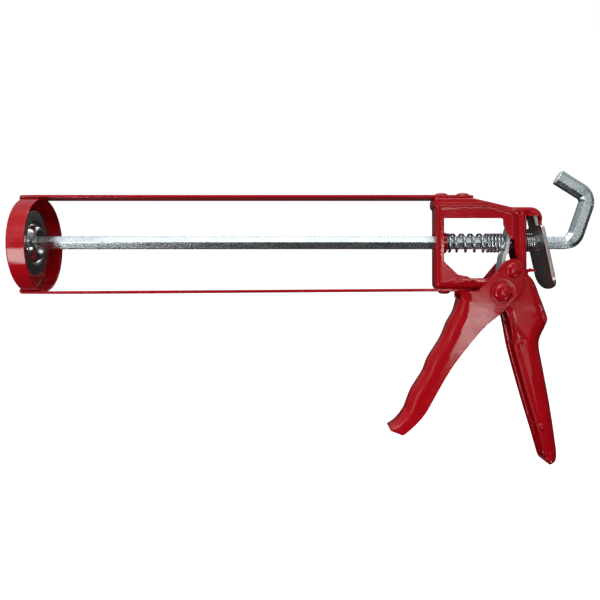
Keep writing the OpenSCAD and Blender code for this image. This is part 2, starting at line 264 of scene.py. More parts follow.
def piece(name, node, slot, material, verts, faces, sheet=0.0, edge=0.0, crease=50, bevel_steps=2):
    """A finished piece that stands for a CAD node: its mesh, thickness, soft edges and shading."""
    mesh = bpy.data.meshes.new(name)
    mesh.from_pydata([tuple(v) for v in np.array(verts) * MM], [], [tuple(map(int, f)) for f in faces])
    obj = bpy.data.objects.new(name, mesh)
    bpy.context.scene.collection.objects.link(obj)
    shape = bmesh.new()
    shape.from_mesh(mesh)
    bmesh.ops.remove_doubles(shape, verts=shape.verts, dist=WELD * MM)
    if sheet:
        bmesh.ops.dissolve_degenerate(shape, edges=shape.edges, dist=SLIVER * MM)
    else:
        bmesh.ops.recalc_face_normals(shape, faces=shape.faces)
    shape.to_mesh(mesh)
    shape.free()
    if sheet:
        thick = obj.modifiers.new("Sheet", "SOLIDIFY")
        thick.thickness = sheet * MM
        thick.offset = -1
        thick.use_quality_normals = True
    if edge:
        soft = obj.modifiers.new("Edges", "BEVEL")
        soft.width = edge * MM
        soft.segments = bevel_steps
        soft.limit_method = "ANGLE"
        soft.angle_limit = math.radians(crease)
    even = obj.modifiers.new("Shading", "WEIGHTED_NORMAL")
    even.keep_sharp = True
    mesh.polygons.foreach_set("use_smooth", [True] * len(mesh.polygons))
    if not edge:
        mesh.set_sharp_from_angle(angle=math.radians(crease))
    graph = bpy.context.evaluated_depsgraph_get()
    shaped = obj.evaluated_get(graph)
    done = bpy.data.meshes.new_from_object(shaped, preserve_all_data_layers=True, depsgraph=graph)
    obj.modifiers.clear()
    obj.data = done
    done.name = name
    done.materials.clear()
    done.materials.append(material)
    body = frame["nodes"][node]["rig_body"]
    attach(obj, body)
    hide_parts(node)
    return obj


def join(*parts):
    """One list of corners and faces from several."""
    verts, faces = [], []
    for v, f in parts:
        first = len(verts)
        verts += [tuple(p) for p in v]
        faces += [tuple(int(i) + first for i in face) for face in f]
    return verts, faces


def flipped(part):
    """The mirror image of a part on the other side of the gun."""
    v, f = part
    return np.array(v, float) * [1, -1, 1], [tuple(reversed(face)) for face in f]


def loft(rings):
    """Skins a row of closed rings and caps both ends."""
    n = len(rings[0])
    verts = [p for ring in rings for p in ring]
    faces = []
    for k in range(len(rings) - 1):
        a, b = k * n, (k + 1) * n
        faces += [(a + i, a + (i + 1) % n, b + (i + 1) % n, b + i) for i in range(n)]
    faces.append(tuple(range(n - 1, -1, -1)))
    faces.append(tuple(range(len(verts) - n, len(verts))))
    return verts, faces


def lathe(profile, turns=72):
    """Turns (radius, height) points about the z axis. A closed profile gives a ring."""
    profile = [tuple(p) for p in profile]
    is_ring = profile[0] == profile[-1]
    if is_ring:
        profile = profile[:-1]
    angles = np.arange(turns) * 2 * math.pi / turns
    verts, rows = [], []
    for r, h in profile:
        if r == 0:
            rows.append([len(verts)] * turns)
            verts.append((0, 0, h))
        else:
            rows.append(list(range(len(verts), len(verts) + turns)))
            verts += [(r * math.cos(a), r * math.sin(a), h) for a in angles]
    pairs = list(zip(rows[:-1], rows[1:])) + ([(rows[-1], rows[0])] if is_ring else [])
    faces = []
    for low, high in pairs:
        for i in range(turns):
            j = (i + 1) % turns
            face = []
            for corner in (low[i], low[j], high[j], high[i]):
                if corner not in face:
                    face.append(corner)
            if len(face) > 2:
                faces.append(tuple(face))
    return verts, faces


AXES = {
    "x": lambda p: (p[2], p[0], p[1]),
    "y": lambda p: (p[1], p[2], p[0]),
    "-y": lambda p: (p[0], -p[2], p[1]),
    "z": lambda p: p,
    "-z": lambda p: (p[1], p[0], -p[2]),
}


def placed(part, axis, at):
    """A part with its z axis laid along another one, its origin moved to a point."""
    v, f = part
    return [tuple(np.array(AXES[axis](p)) + at) for p in v], f


def on_rod(part):
    """A part whose z axis is laid along the rod's."""
    return placed(part, "x", np.array((0, 0, ROD_Z)))


def across_gun(part, at):
    """A part whose z axis is laid straight across the gun, through an (x, z) place."""
    return placed(part, "y", np.array((at[0], 0, at[1])))


def shank(radius, start, end, turns):
    """A plain pin from one height to another."""
    return lathe([(0, start), (radius, start), (radius, end), (0, end)], turns)


def soft_ring(r_in, r_out, low, high, soft=0.3, steps=3):
    """The profile of a ring with rounded edges."""
    out = []
    corners = [(r_out, low), (r_out, high), (r_in, high), (r_in, low)]
    inward = [(-1, 1), (-1, -1), (1, -1), (1, 1)]
    start = [-90, 0, 90, 180]
    for (r, h), (dr, dh), a0 in zip(corners, inward, start):
        for k in range(steps + 1):
            a = math.radians(a0 + 90 * k / steps)
            out.append((r + dr * soft + soft * math.cos(a), h + dh * soft + soft * math.sin(a)))
    return out + [out[0]]


def head_profile(radius, height):
    """The crown of a riveted head, fuller than a ball, down to a foot inside the sheet."""
    steps, foot = 12, -0.3
    out = [(0.0, height)]
    for k in range(1, steps + 1):
        a = math.radians(90 * k / steps)
        out.append((radius * math.sin(a) ** 0.9, height * math.cos(a) ** 0.72))
    return out + [(radius * 0.985, foot / 2), (radius * 0.9, foot)]


def head(radius, height, axis, at):
    """A riveted head on the plane through a point."""
    return placed(lathe(head_profile(radius, height), 48), axis, np.array(at, float))


# ---------------------------------------------------------------- pressed sheet

OUTLINE_STEP = 0.9
PITCH, FINE = 1.5, 0.45  # grid of a skin, away from its lines and near them
BEND_ROWS = (22, 34, 46, 58, 72, 90)  # rows of points round a fold, in degrees
BEAD_ROWS = (-0.6, -0.38, -0.18, 0, 0.18, 0.38, 0.6)  # rows of points across a bead
BEAD_STEP, BEAD_CLEAR = 0.7, 0.85
WEB_ROWS = (0.3, 0.6, 0.85)  # rows of points across a web, as shares of its depth


class Skin:
    """The side view of a pressed side: its outline, its holes and its folds."""

    def __init__(self, outline, holes):
        loop, self.folds = [], []
        for part in outline:
            path = spaced(part["points"], OUTLINE_STEP, graded="radius" not in part)
            if "radius" in part:
                self.folds.append((path, part["radius"], part.get("notches", [])))
            loop.append(path[:-1])
        self.loops = [np.concatenate(loop)] + [spaced(closed(hole), OUTLINE_STEP)[:-1] for hole in holes]
        self.rims = [closed(loop) for loop in self.loops]

    def drop(self, points):
        """How far the folds take the skin in, and how near the nearest fold is in its radii."""
        deepest, share = np.zeros(len(points)), np.full(len(points), 9.0)
        for path, radius, _ in self.folds:
            gap, along = nearest(points, path)
            r = radius(along)
            t = np.clip(gap / r, 0, 1)
            deepest = np.maximum(deepest, r * (1 - np.sqrt(np.maximum(0, 1 - (1 - t) ** 2))))
            share = np.minimum(share, gap / r)
        return deepest, share

    def clear(self, points, folds, edges):
        """Which points lie inside, this many radii from the folds and this far from the edges."""
        clear = (self.drop(points)[1] > folds) & (gap_to(points, self.rims) > edges)
        return clear & inside(points, self.loops)

    def fold_points(self):
        """Rows of points that follow each fold round."""
        rows = []
        for path, radius, _ in self.folds:
            inward, r = rightward(path), radius(run_length(path))
            for angle in BEND_ROWS:
                share = 1 - math.cos(math.radians(angle))
                p = path + inward * (r * share)[:, None]
                keep = self.clear(p, share * 0.96, r * share * 0.9)
                keep &= np.arange(len(p)) % (1 if angle < 60 else 2) == 0
                rows.append(p[keep])
        return rows

    def grid_points(self, lines, reach):
        """An even grid of points, which is finer within reach of the lines."""
        base, small = grid(self.loops, PITCH), grid(self.loops, FINE)
        base, small = base[inside(base, self.loops)], small[inside(small, self.loops)]
        base, small = base[gap_to(base, lines) > reach], small[gap_to(small, lines) < reach]
        return [small[self.clear(small, 1.02, FINE * 0.6)], base[self.clear(base, 1.08, PITCH * 0.45)]]

    def bead_points(self, path):
        """Rows of points along a bead."""
        rows = [path + rightward(path) * off for off in BEAD_ROWS]
        return [row[self.clear(row, 1.05, 0.5)] for row in rows]


def web(path, radius, notches, half, seam, relief):
    """The sheet that a fold turns in, from the skin to the seam, with its notches round the rod."""
    along = run_length(path)
    low = np.stack([along, -half + radius(along) - relief(path)], axis=1)
    high = np.stack([along, np.full(len(along), -seam)], axis=1)
    inner = np.concatenate([low * (1 - share) + high * share for share in WEB_ROWS])
    top = high[::-1]
    for height, r in notches:
        ahead = np.array([[path[:, 0].min() - 50, height]])
        middle = nearest(ahead, path)[1][0]
        near = np.abs(top[:, 0] - middle) < r + 0.3
        arc = [[middle + r * math.cos(a), -max(seam, r * math.sin(a))] for a in np.linspace(0, math.pi, 15)]
        before, after = top[(top[:, 0] > middle) & ~near], top[(top[:, 0] < middle) & ~near]
        top = np.vstack([before, arc, after])
        inner = inner[np.hypot(inner[:, 0] - middle, inner[:, 1]) > r + 0.6]
    flat, faces = fill([np.vstack([low, top])], inner)
    x, z = (np.interp(flat[:, 0], along, path[:, k]) for k in (0, 1))
    return np.stack([x, flat[:, 1], z], axis=1), faces


def pressing(outline, holes, half, seam, relief, lines, beads=(), reach=1.6):
    """The outer skin of a pressed side, with the webs that it is folded into.

    outline is a list of stretches that go clockwise round the side view. A stretch is a dict: its
    points, and where the sheet folds there, the fold's radius as a function of the length along
    it, and the round notches (height, radius) that its web leaves round the rod. relief says how
    far the sheet is pressed out at (x, z) points. The mesh is fine within reach of the lines, and
    has rows of its own along the beads.
    """
    skin = Skin(outline, holes)
    points = [np.concatenate(skin.fold_points() + skin.grid_points(lines, reach))]
    for path in [spaced(bead, BEAD_STEP) for bead in beads]:
        points[0] = points[0][nearest(points[0], path)[0] > BEAD_CLEAR]
        points += skin.bead_points(path)
    flat, faces = fill(skin.loops, np.concatenate(points))
    side = np.stack([flat[:, 0], -half + skin.drop(flat)[0] - relief(flat), flat[:, 1]], axis=1)
    return join((side, faces), *[web(*fold, half, seam, relief) for fold in skin.folds])


def ridge(points, path, width, height):
    """A rounded bead along a path."""
    gap, _ = nearest(points, np.array(path, float))
    return height * np.exp(-(gap / width) ** 2)


# ---------------------------------------------------------------- materials

class Shade:
    """A Principled material and short ways to add the nodes behind its sockets."""

    def __init__(self, name, **constants):
        self.material = bpy.data.materials.new(name)
        self.material.use_nodes = True
        self.tree = self.material.node_tree
        self.shader = self.tree.nodes["Principled BSDF"]
        for socket, value in constants.items():
            self.shader.inputs[socket.replace("_", " ")].default_value = value
        self.place = self.tree.nodes.new("ShaderNodeTexCoord").outputs["Object"]

    def node(self, kind, **inputs):
        made = self.tree.nodes.new("ShaderNode" + kind)
        for name, value in inputs.items():
            socket = made.inputs[name.replace("_", " ")]
            if isinstance(value, bpy.types.NodeSocket):
                self.tree.links.new(value, socket)
            else:
                socket.default_value = value
        return made

    def stretched(self, x, y, z):
        """Object coordinates scaled along each axis, for streaks."""
        made = self.node("Mapping", Vector=self.place)
        made.inputs["Scale"].default_value = (x, y, z)
        return made.outputs["Vector"]

    def noise(self, scale, detail, at=None):
        made = self.node("TexNoise", Vector=at or self.place, Scale=scale, Detail=detail, Roughness=0.55)
        return made.outputs["Fac"]

    def spangle(self, scale):
        """A tone for each crystal of a plated skin."""
        made = self.node("TexVoronoi", Vector=self.place, Scale=scale)
        return self.node("SeparateColor", Color=made.outputs["Color"]).outputs["Red"]

    def ramp(self, fac, low, high, out_low, out_high):
        """A value taken from one range to another, and held at its ends."""
        made = self.node("MapRange", Value=fac)
        for name, value in zip(("From Min", "From Max", "To Min", "To Max"), (low, high, out_low, out_high)):
            made.inputs[name].default_value = value
        return made.outputs["Result"]

    def blend(self, fac, a, b):
        """A mix of two colours."""
        made = self.tree.nodes.new("ShaderNodeMix")
        made.data_type = "RGBA"
        self.tree.links.new(fac, made.inputs["Factor"])
        for socket, value in ((made.inputs[6], a), (made.inputs[7], b)):
            if isinstance(value, bpy.types.NodeSocket):
                self.tree.links.new(value, socket)
            else:
                socket.default_value = (*value, 1)
        return made.outputs[2]

    def add(self, a, b, share):
        """a plus a share of b."""
        made = self.node("Math")
        made.operation = "MULTIPLY_ADD"
        self.tree.links.new(b, made.inputs[0])
        made.inputs[1].default_value = share
        self.tree.links.new(a, made.inputs[2])
        return made.outputs[0]

    def wire(self, socket, output):
        self.tree.links.new(output, self.shader.inputs[socket])

    def relief(self, height, depth, strength):
        """Fine relief, its depth in millimetres."""
        made = self.node("Bump", Height=height, Strength=strength, Distance=depth * MM)
        self.wire("Normal", made.outputs["Normal"])


def red_enamel():
    """Sprayed and baked enamel: deep red, glossy, with a faint orange peel and dark specks."""
    deep, bright, speck = (0.36, 0.0016, 0.006), (0.45, 0.003, 0.009), (0.24, 0.002, 0.006)
    shade = Shade("red_enamel", Specular_IOR_Level=0.36, Coat_Weight=0.1, Coat_Roughness=0.04)
    cloud = shade.noise(28, 2)
    specks = shade.noise(240, 4)
    tone = shade.blend(shade.ramp(cloud, 0.3, 0.7, 0, 1), deep, bright)
    tone = shade.blend(shade.ramp(specks, 0.62, 0.8, 0, 0.35), tone, speck)
    shade.wire("Base Color", tone)
    shade.wire("Roughness", shade.ramp(shade.noise(120, 3), 0.3, 0.75, 0.1, 0.2))
    peel = shade.add(shade.noise(420, 2), shade.noise(1500, 2), 0.25)
    shade.relief(peel, 0.05, 0.5)
    return shade.material


def bright_zinc(name, light, dark, rough, streaks):
    """Zinc plate with small crystals, stains, and marks drawn out by the scales in streaks."""
    shade = Shade(name, Metallic=1.0)
    crystal = shade.spangle(1800)
    stain = shade.noise(60, 4)
    drawn = shade.noise(1.0, 4, shade.stretched(*streaks))
    grain = shade.add(shade.add(stain, crystal, 0.25), drawn, 0.4)
    shade.wire("Base Color", shade.blend(shade.ramp(grain, 0.45, 1.15, 0, 1), dark, light))
    shade.wire("Roughness", shade.ramp(shade.add(drawn, crystal, 0.5), 0.3, 1.1, rough[0], rough[1]))
    shade.relief(shade.add(drawn, crystal, 0.35), 0.012, 0.35)
    return shade.material


RED = red_enamel()
ROD_ZINC = bright_zinc("drawn_zinc", (0.72, 0.79, 0.81), (0.46, 0.53, 0.56), (0.2, 0.34), (60, 700, 700))
DISC_ZINC = bright_zinc("disc_zinc", (0.52, 0.52, 0.51), (0.34, 0.33, 0.32), (0.1, 0.24), (500, 500, 500))
PLATE_ZINC = bright_zinc("plate_zinc", (0.84, 0.88, 0.89), (0.56, 0.60, 0.62), (0.34, 0.54), (500, 500, 500))
# the brake plate's zinc: a darker copy of the zinc plate, painted shade that stands in for the shade on its
# face
SHADED_ZINC = bright_zinc("dark_zinc", (0.62, 0.58, 0.55), (0.40, 0.37, 0.34), (0.26, 0.42), (420, 420, 420))
SPRING = bright_zinc("spring_wire", (0.74, 0.78, 0.80), (0.38, 0.41, 0.43), (0.14, 0.3), (700, 700, 700))
STEEL = bright_zinc("plain_steel", (0.42, 0.42, 0.42), (0.22, 0.22, 0.22), (0.32, 0.5), (600, 600, 600))


# ---------------------------------------------------------------- cap and strips

def front_cap():
    """A shallow drawn cap with a nozzle hole, flat on top and below where the strips lie."""
    t, hole = 1.0, 10.0
    outer, inner = CAP_R, CAP_R - t
    bend, inner_bend, edge = 1.0, 0.8, 0.3
    def arc(r, h, radius, start, turn=90):
        steps = [math.radians(start + turn * k / 6) for k in range(7)]
        return [(r + radius * math.cos(a), h + radius * math.sin(a)) for a in steps]
    profile = arc(outer - bend, bend, bend, -90) + arc(outer - edge, CAP_DEPTH - edge, edge, 0)
    profile += arc(inner + edge, CAP_DEPTH - edge, edge, 90)
    profile += arc(inner - inner_bend, t + inner_bend, inner_bend, 0, -90)
    profile += arc(hole + edge, t - edge, edge, 90) + arc(hole + edge, edge, edge, 180)
    verts, faces = placed(lathe(profile + [profile[0]], 192), "x", np.zeros(3))
    verts = [(x, y, float(np.clip(z, -STRIP_SEAT, STRIP_SEAT))) for x, y, z in verts]
    return piece("cap_shell", "front_cap", "red_enamel", RED, verts, faces)


def bar_section(width, height, corner, steps=4):
    """A rounded oblong, as (across, up) points."""
    out = []
    for sx, sy, start in ((1, 1, 0), (-1, 1, 90), (-1, -1, 180), (1, -1, 270)):
        for k in range(steps + 1):
            a = math.radians(start + 90 * k / steps)
            out.append((sx * (width / 2 - corner) + corner * math.cos(a),
                        sy * (height / 2 - corner) + corner * math.sin(a)))
    return out


def strip(name, node, up, rear_z):
    """A cradle strip, folded over the cap in front and round behind; up is 1 on top and -1 below."""
    low, high = node_box(node)
    width, rear = high[1] - low[1], high[0]
    middle, fold_t, foot_z, foot_rings = STRIP_T / 2, 1.4, STRIP_SEAT - 1.3, 6
    line = rounded([(-fold_t / 2, foot_z), (-fold_t / 2, STRIP_SEAT + 0.78), (12, STRIP_SEAT + middle),
                    (FRAME_X - 1.2, rear_z + middle), (rear - 0.05, rear_z + middle)], [0, 1.3, 30, 14, 0], 8)
    line = spaced(line, 6)
    rings = []
    for i, ((x, z), (tx, tz)) in enumerate(zip(line, directions(line))):
        t = fold_t + (STRIP_T - fold_t) * step_up((x - 0.5) / 3)
        tail = math.sqrt(max(0.0, 1 - max(0.0, 1 - (rear - x) / 2.4) ** 2.4))
        foot = 0.86 + 0.14 * step_up((z - foot_z) / 1.2) if i < foot_rings else 1.0
        section = bar_section(width * (0.74 + 0.26 * tail) * foot, t, 0.42)
        rings.append([(x - tz * b, a, up * (z + tx * b)) for a, b in section])
    verts, faces = loft(rings)
    return piece(name, node, "red_enamel", RED, verts, faces, edge=0.2, crease=60)


def strip_rivets(name, node, places, up, radius, height):
    """The rivets in a strip's rear end, with low heads on the inside of the frame."""
    axis, back = ("z", "-z") if up > 0 else ("-z", "z")
    bury = 0.2
    parts = []
    for x, z in places:
        parts.append(head(radius, height, axis, (x, 0, z + up * STRIP_T)))
        parts.append(head(2.8, 1.0, back, (x, 0, z - up * SHEET)))
        parts.append(placed(shank(1.6, -SHEET - bury, STRIP_T + bury, 32), axis, np.array((x, 0, z))))
    return piece(name, node, "red_enamel", RED, *join(*parts))


# ---------------------------------------------------------------- frame

LIP_R = 6.6  # the roof's rear end curves down into a lip, which holds the brake plate's tongue
LIP = [(280.5 + LIP_R * math.cos(math.radians(a)), 20.7 - LIP_R + LIP_R * math.sin(math.radians(a)))
       for a in range(90, -1, -10)]
LIP_FOOT, LIP_IN = (286.7, 10.8), (285.9, 10.8)
SKIRT_Z = 15.7
FRONT_WALL = [
    (253, FRAME_FLOOR), (FRAME_X, FRAME_FLOOR), (FRAME_X, 20.2), (FRAME_X - 1.2, 21.6),
    (FRAME_X - 1.2, FRAME_TOP), (248.5, FRAME_TOP), (270, 20.7), (280.5, 20.7),
]
LEDGE = [(POST_X, -13.6), (283, -13.8), (283, -15), (279.8, -15.2)]
GRIP_BACK = [
    (279.6, -16.4), (283.2, -20.5), (286.4, -27.9), (290.6, -38.2), (291.4, -41.6),
    (290.2, -45.2), (287.5, -51.2), (286.9, -56.5), (289.3, -69.6), (292.4, -86),
    (294.8, -101), (296.2, -113), (295.6, -119.4), (292, -122.1),
]
GRIP_FRONT = [(289.4, -120), (284.8, -104), (279.2, -85.5), (271.6, -58), (267.4, -38.2), (260.8, -33)]
# the window's foot is the same on both sides, and its head is taller on the far side
WINDOW_FOOT = [
    (272.2, 2.4), (272.4, -3), (273.8, -9), (273.8, -16), (267, -18.6), (246.9, -18.6),
    (246.2, -17.8), (240.3, -16.6), (232.8, -9.5),
]
NEAR_HEAD = [(232.8, 14.4), (265.3, 14.4), (265.5, 10.7), (268.9, 3.6)]
FAR_HEAD = [(232.8, 17), (270.2, 17), (270.5, 10.7), (271.4, 5)]
BEADS = [[(230.4, 22.4), (258, 22.4), (273.6, 18.6)], [(230.4, 20.9), (257.4, 20.9), (271, 17)]]
WEDGE = np.array([(268.9, -40.3), (278.3, -53.2), (271.9, -54.5)])
GROOVE = (270.6, 274.8)  # where the side falls in before the rear post, and where it comes out again
DIMPLE = (238.2, -21.6)
FLOOR_BEAD = [(243, -21.7), (249, -21.9)]
# x, z, the head's radius, and how far it lies inside the frame's half width
GRIP_RIVETS = [(274.2, -54, 2.0, 0.45), (288.1, -41.3, 1.6, 1.5), (285.9, -100.1, 1.8, 0.15)]
TOP_RIVETS = [(232.5, FRAME_TOP), (244.5, FRAME_TOP)]
BOTTOM_RIVETS = [(234.3, FRAME_FLOOR), (244.9, FRAME_FLOOR)]


def circle(centre, radius, steps=28):
    """A round hole or mark, as (x, z) points."""
    a = np.arange(steps) * 2 * math.pi / steps
    return np.stack([centre[0] + radius * np.cos(a), centre[1] + radius * np.sin(a)], axis=1)


def frame_relief(points):
    """Beads, the step before the rear post, the grip's front rim, and the wedge pressed into it."""
    x, z = points[:, 0], points[:, 1]
    out = sum(ridge(points, bead, 0.42, 0.34) for bead in BEADS)
    out += ridge(points, FLOOR_BEAD, 0.4, 0.3)
    out += 0.45 * np.exp(-((np.hypot(x - DIMPLE[0], z - DIMPLE[1])) / 1.0) ** 2)

    groove_depth, upper_end, lower_end = 1.2, 17.6, -17
    groove = np.clip((x - GROOVE[0]) / (GROOVE[1] - GROOVE[0]), 0, 1) * (1 - step_up((x - GROOVE[1]) / 0.9))
    out -= groove_depth * groove * step_up((upper_end - z) / 1.8) * step_up((z - lower_end) / 5)

    line_depth, side_depth, rim = 0.55, 0.25, 2.3
    gap, _ = nearest(points, smooth(GRIP_FRONT, 5))
    on_grip = step_up((-33 - z) / 4) * step_up((z + 121) / 4)
    line = line_depth * np.exp(-((gap - rim) / 0.5) ** 2)
    out -= on_grip * (line + side_depth * step_up((gap - rim + 0.1) / 1.0))

    wedge_depth = 0.55
    reach = np.full(len(points), 9.0)
    for (ax, az), (bx, bz) in zip(WEDGE, np.roll(WEDGE, -1, axis=0)):
        length = math.hypot(bx - ax, bz - az)
        reach = np.minimum(reach, -((bx - ax) * (z - az) - (bz - az) * (x - ax)) / length)
    out -= wedge_depth * step_up(reach / 0.9)
    return out + ridge(points, [WEDGE[2], WEDGE[0], WEDGE[1]], 0.38, 0.22)


def frame_half(name, node, far):
    """One pressed half of the frame, with half of the grip."""
    floor_to_lip = np.vstack([rounded(FRONT_WALL, [0, 2.4, 0.8, 0.8, 1.2, 6, 6, 0]), LIP[1:], [LIP_FOOT]])
    grip_front = smooth(GRIP_FRONT, 5)
    back = np.vstack([[LEDGE[3]], smooth(GRIP_BACK, 5), [grip_front[0]]])
    def floor_radius(s):
        stops = [0, 21.4, 27.4, 63.4, 69.4, 77.4, 128.8, 141.8]
        return np.interp(s, stops, [3.4, 3.4, 1.5, 1.5, 1.2, 1.7, 1.7, 1.3])
    def post_radius(s):
        return np.interp(s, [0, 3, 26, 30], [2.4, 2.9, 2.9, 2.6])
    def back_radius(s):
        return np.interp(s, [0, 8, 30, 46, 98, 108, 116], [2.8, 4.2, 6.4, 7.4, 7.4, 5.5, 2.4])
    outline = [
        {"points": floor_to_lip, "radius": floor_radius, "notches": [(ROD_Z, 5.85)]},
        {"points": [LIP_FOOT, LIP_IN, (LIP_IN[0], SKIRT_Z), (POST_X, SKIRT_Z)]},
        {"points": [(POST_X, SKIRT_Z), LEDGE[0]], "radius": post_radius, "notches": [(ROD_Z, 4.6)]},
        {"points": LEDGE},
        {"points": back, "radius": back_radius},
        {"points": np.vstack([grip_front, [FRONT_WALL[0]]])},
    ]
    window_head = FAR_HEAD if far else NEAR_HEAD
    window = rounded(window_head + WINDOW_FOOT + window_head[:1],
                     [0, 1.2, 1, 2, 1, 2, 1, 1.2, 1.5, 0.5, 1, 1.2, 1.5, 0])[:-1]
    lines = [closed(WEDGE), [DIMPLE, (DIMPLE[0] + 0.5, DIMPLE[1])], grip_front[2:] + [1.9, 0.6]]
    lines += [[(x, 16.6), (x, -14)] for x in (GROOVE[0] + 1, GROOVE[1] + 0.3)]
    part = pressing(outline, [window], FRAME_HALF, 0.04, frame_relief, lines, BEADS + [FLOOR_BEAD])
    if far:
        part = flipped(part)
    return piece(name, node, "red_enamel", RED, *part, sheet=SHEET, edge=EDGE)


def grip_rivets():
    """The rivets that close the two halves of the grip."""
    reach = 6.5
    parts = []
    for x, z, radius, sink in GRIP_RIVETS:
        for axis, y in (("-y", -FRAME_HALF + sink), ("y", FRAME_HALF - sink)):
            parts.append(head(radius, 0.7, axis, (x, y, z)))
        parts.append(across_gun(shank(1.4, -reach, reach, 24), (x, z)))
    return piece("grip_rivet_set", "grip_rivets", "red_enamel", RED, *join(*parts))


def rod_bush():
    """The guide collar in the front wall."""
    low, high = node_box("rod_bush")
    profile = soft_ring(4.6, 5.8, low[0], high[0], 0.35)
    return piece("rod_guide", "rod_bush", "red_enamel", RED, *on_rod(lathe(profile)))


# ---------------------------------------------------------------- trigger

TRIGGER_HEAD = [
    (250.9, -25.6), (258.1, -18.6), (263.2, -12.5), (266, -9.5), (269, -8.3), (272, -8.3),
    (274.6, -9.8), (276.1, -13.1), (276.4, -19.7), (275.2, -24.4), (273.3, -28.4),
]
TRIGGER_REAR = [
    (268.8, -32.8), (264.3, -37.6), (257, -43.4), (252, -48.5), (243.1, -59.3), (235.9, -69.2),
    (228.5, -82), (222.5, -92.6), (216.8, -99.3), (211.8, -103.6), (209.8, -105),
]
TRIGGER_FRONT = [
    (202.8, -101.2), (207.2, -97.6), (211.2, -91.6), (213.6, -85.4),
    (216.2, -79.6), (222, -70.4), (225.2, -62.6), (232.1, -51.4), (235.8, -42.6), (239.4, -36.6),
    (241.6, -29.9),
]
TRIGGER_NOSE = (242, -26.2)
DISH_R = 5.7  # the dish round the pivot rivet's head
MARK_RADII = (7.4, 9.0, 10.6)
CROSS_HOLE = 2.55


def trigger_relief(points):
    """A shallow dish round the pivot and the stretch marks below it."""
    arm = points - PIVOT
    away, angle = np.linalg.norm(arm, axis=1), np.degrees(np.arctan2(arm[:, 1], arm[:, 0]))
    out = -0.16 * np.exp(-((away - DISH_R) / 0.7) ** 2)
    below = step_up((angle + 120) / 20) * step_up((-55 - angle) / 20)
    for radius in MARK_RADII:
        out -= 0.06 * below * np.exp(-((away - radius) / 0.4) ** 2)
    return out


def trigger():
    """The channel-shaped lever, folded along its front, with open ears round the pivot and the pin."""
    front = np.vstack([rounded([(209.8, -105), (203.4, -102.7), (202.8, -101.2)], [0, 1, 0]),
                       smooth(TRIGGER_FRONT, 6)[1:]])
    def radius(s):
        return np.interp(s, [0, 6, 10, 22, 78, 90], [0.9, 1.5, 2.6, 6.8, 6.8, 4.6])
    head_line = np.vstack([smooth(TRIGGER_HEAD, 3), smooth([TRIGGER_HEAD[-1]] + TRIGGER_REAR, 3)[1:]])
    outline = [
        {"points": head_line},
        {"points": front, "radius": radius},
        {"points": [TRIGGER_FRONT[-1], TRIGGER_NOSE, TRIGGER_HEAD[0]]},
    ]
    lower_half = slice(14, None)
    marks = [circle(PIVOT, DISH_R), circle(PIVOT, 8.8)[lower_half]]
    holes = [circle(PIVOT, CROSS_HOLE), circle(PUSHER, CROSS_HOLE)]
    part = pressing(outline, holes, TRIGGER_HALF, 0.0, trigger_relief, marks, reach=2.4)
    both = join(part, flipped(part))
    return piece("trigger_lever", "trigger", "red_enamel", RED, *both, sheet=SHEET, edge=EDGE)


def cross_rivet(name, node, at, reach, radius, height):
    """A rivet right across the gun, headed on both sides."""
    parts = [across_gun(shank(2.5, -reach, reach, 32), at)]
    for axis, y in (("-y", -reach), ("y", reach)):
        parts.append(head(radius, height, axis, (at[0], y, at[1])))
    return piece(name, node, "red_enamel", RED, *join(*parts))


def cross_ring(name, node, at, r_out):
    """A tube or roller between the frame's halves, on a cross rivet."""
    low, high = node_box(node)
    profile = soft_ring(CROSS_HOLE, r_out, low[1], high[1])
    return piece(name, node, "plain_steel", STEEL, *across_gun(lathe(profile, 48), at))


# ---------------------------------------------------------------- plates

PLATE_T = 2.0


def hexagon(af, corner=0.4):
    """A hexagonal hole with a corner to each side and slightly rounded corners."""
    r = af / 2 / math.cos(math.radians(30))
    p = [(r * math.cos(math.radians(60 * k)), r * math.sin(math.radians(60 * k))) for k in range(6)]
    out = []
    for k in range(6):
        out += list(rounded([p[k - 1], p[k], p[(k + 1) % 6]], [0, corner, 0], 3)[1:-1])
    return np.array(out)


def plate(name, node, slot, material, outline, hole, face, lean, at):
    """A plate drawn upright as (across, up), bent by face(up) and leaned by an angle on the rod."""
    loops = [spaced(closed(loop), 0.6)[:-1] for loop in (outline, hole)]
    points = grid(loops, 0.8)
    points = points[inside(points, loops)]
    points = points[gap_to(points, [closed(loop) for loop in loops]) > 0.5]
    flat, faces = fill(loops, points)
    x, z = face(flat[:, 1]) + PLATE_T, flat[:, 1]
    c, s = math.cos(math.radians(lean)), math.sin(math.radians(lean))
    verts = np.stack([at + x * c + z * s, flat[:, 0], ROD_Z - x * s + z * c], axis=1)
    return piece(name, node, slot, material, verts, faces, sheet=PLATE_T, edge=0.3, bevel_steps=3)


def drive_plate():
    """The plate that the roller pushes: round at the top, stepped forward below."""
    half, top, foot, step_z, step = 5.5, 10.2, -19.6, -5, 1.1
    angles = [math.radians(a) for a in range(0, 181, 12)]
    arc = [(half * math.cos(a), top - half + half * math.sin(a)) for a in angles]
    outline = np.array(arc + [(-half, foot + 1), (-half + 1, foot), (half - 1, foot), (half, foot + 1)])
    return plate("drive_grip_plate", "drive_plate", "zinc_plate", PLATE_ZINC, outline,
                 hexagon(ROD_AF + 1), lambda z: -step * step_up((step_z - z) / 2.6), 8, 267.8)


